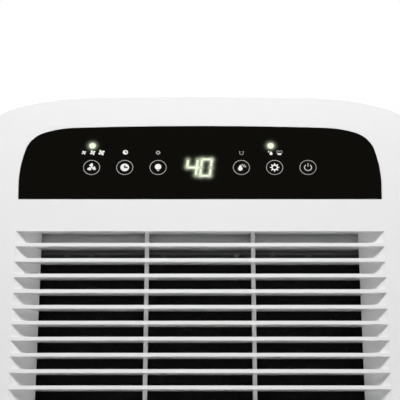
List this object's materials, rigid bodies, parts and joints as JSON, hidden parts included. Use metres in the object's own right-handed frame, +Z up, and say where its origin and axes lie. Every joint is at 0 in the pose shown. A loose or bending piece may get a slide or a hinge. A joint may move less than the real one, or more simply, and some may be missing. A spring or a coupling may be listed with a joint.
{
  "type": "dehumidifier",
  "caption": "Portable compressor dehumidifier with leaning louvred front, black touch panel, slide-out water tank, side-drawn filter and swivel casters.",
  "frame": {"origin": "floor level under the middle of the casing", "axes": "+Z up, -Y is the front with the panel and louvres, +X to the right of someone facing the front"},
  "size_m": [0.37, 0.262, 0.5699],
  "materials": {
    "shell_white": "fine grained",
    "panel_black": "gloss",
    "duct_grey": "satin",
    "filter_grey": "satin",
    "mesh_black": "woven",
    "copper": "drawn",
    "fin_aluminium": "rolled",
    "zinc_steel": "zinc plated",
    "black_enamel": "semi gloss",
    "rubber_black": "matt",
    "tank_clear": "translucent",
    "window_smoke": "clear",
    "handle_grey": "satin",
    "foam_white": "foam",
    "board_green": "lacquered",
    "part_black": "satin",
    "can_metal": "drawn",
    "wheel_grey": "matt",
    "fan_black": "satin",
    "tray_grey": "satin"
  },
  "bodies": {
    "cabinet": {"front_shell": "shell_white", "rear_shell": "shell_white", "exhaust_grille": "shell_white", "left_grip": "shell_white", "right_grip": "shell_white", "control_panel": "panel_black", "panel_carrier": "part_black", "display_board": "board_green", "digit_module": "part_black", "touch_springs": "zinc_steel", "humidity_sensor": "part_black", "intake_frame": "duct_grey", "evaporator_tubes": "copper", "evaporator_fins": "fin_aluminium", "condenser_tubes": "copper", "condenser_fins": "fin_aluminium", "drip_tray": "tray_grey", "bay_partition": "tray_grey", "fan_shroud": "tray_grey", "motor_bracket": "zinc_steel", "fan_motor": "can_metal", "compressor_feet": "black_enamel", "compressor_can": "black_enamel", "terminal_cover": "part_black", "compressor_grommets": "rubber_black", "compressor_studs": "zinc_steel", "accumulator": "black_enamel", "accumulator_strap": "zinc_steel", "suction_pipe": "copper", "discharge_pipe": "copper", "filter_drier": "copper", "control_box": "tray_grey", "control_box_lid": "tray_grey", "main_board": "board_green", "run_capacitor": "can_metal", "tank_switch": "part_black", "drain_spout": "shell_white", "cord_gland": "part_black", "shell_screws": "zinc_steel", "base_screws": "zinc_steel", "base_pan": "handle_grey"},
    "tank": {"water_tank": "tank_clear", "tank_cover": "shell_white", "level_window": "window_smoke"},
    "handle": {"tank_handle": "handle_grey"},
    "float": {"tank_float": "foam_white", "float_magnet": "zinc_steel"},
    "filter": {"filter_frame": "filter_grey", "filter_mesh": "mesh_black"},
    "fan": {"fan_impeller": "fan_black"},
    "plug": {"drain_plug": "rubber_black"},
    "fork_fl": {"caster_fork_fl": "part_black"},
    "wheel_fl": {"caster_wheel_fl": "wheel_grey"},
    "fork_fr": {"caster_fork_fr": "part_black"},
    "wheel_fr": {"caster_wheel_fr": "wheel_grey"},
    "fork_rl": {"caster_fork_rl": "part_black"},
    "wheel_rl": {"caster_wheel_rl": "wheel_grey"},
    "fork_rr": {"caster_fork_rr": "part_black"},
    "wheel_rr": {"caster_wheel_rr": "wheel_grey"}
  },
  "joints": [
    {"name": "tank_slide", "type": "slide", "parent": "cabinet", "child": "tank", "axis": [0, -1, 0], "range_m": [0, 0.2]},
    {"name": "handle_lift", "type": "hinge", "parent": "tank", "child": "handle", "pos_m": [0, -0.062, 0.18], "axis": [-1, 0, 0], "range_deg": [0, 88]},
    {"name": "float_rise", "type": "hinge", "parent": "tank", "child": "float", "pos_m": [-0.11, -0.008, 0.168], "axis": [-1, 0, 0], "range_deg": [0, 18]},
    {"name": "filter_slide", "type": "slide", "parent": "cabinet", "child": "filter", "axis": [1, 0, 0], "range_m": [0, 0.3]},
    {"name": "fan_spin", "type": "hinge", "parent": "cabinet", "child": "fan", "pos_m": [0, 0.084, 0.362], "axis": [0, 1, 0], "continuous": true},
    {"name": "plug_pull", "type": "slide", "parent": "cabinet", "child": "plug", "axis": [0, 1, 0], "range_m": [0, 0.02]},
    {"name": "swivel_fl", "type": "hinge", "parent": "cabinet", "child": "fork_fl", "pos_m": [-0.15, -0.095, 0.04], "axis": [0, 0, 1], "continuous": true},
    {"name": "roll_fl", "type": "hinge", "parent": "fork_fl", "child": "wheel_fl", "pos_m": [-0.15, -0.086, 0.013], "axis": [1, 0, 0], "continuous": true},
    {"name": "swivel_fr", "type": "hinge", "parent": "cabinet", "child": "fork_fr", "pos_m": [0.15, -0.095, 0.04], "axis": [0, 0, 1], "continuous": true},
    {"name": "roll_fr", "type": "hinge", "parent": "fork_fr", "child": "wheel_fr", "pos_m": [0.15, -0.086, 0.013], "axis": [1, 0, 0], "continuous": true},
    {"name": "swivel_rl", "type": "hinge", "parent": "cabinet", "child": "fork_rl", "pos_m": [-0.15, 0.095, 0.04], "axis": [0, 0, 1], "continuous": true},
    {"name": "roll_rl", "type": "hinge", "parent": "fork_rl", "child": "wheel_rl", "pos_m": [-0.15, 0.104, 0.013], "axis": [1, 0, 0], "continuous": true},
    {"name": "swivel_rr", "type": "hinge", "parent": "cabinet", "child": "fork_rr", "pos_m": [0.15, 0.095, 0.04], "axis": [0, 0, 1], "continuous": true},
    {"name": "roll_rr", "type": "hinge", "parent": "fork_rr", "child": "wheel_rr", "pos_m": [0.15, 0.104, 0.013], "axis": [1, 0, 0], "continuous": true}
  ]
}
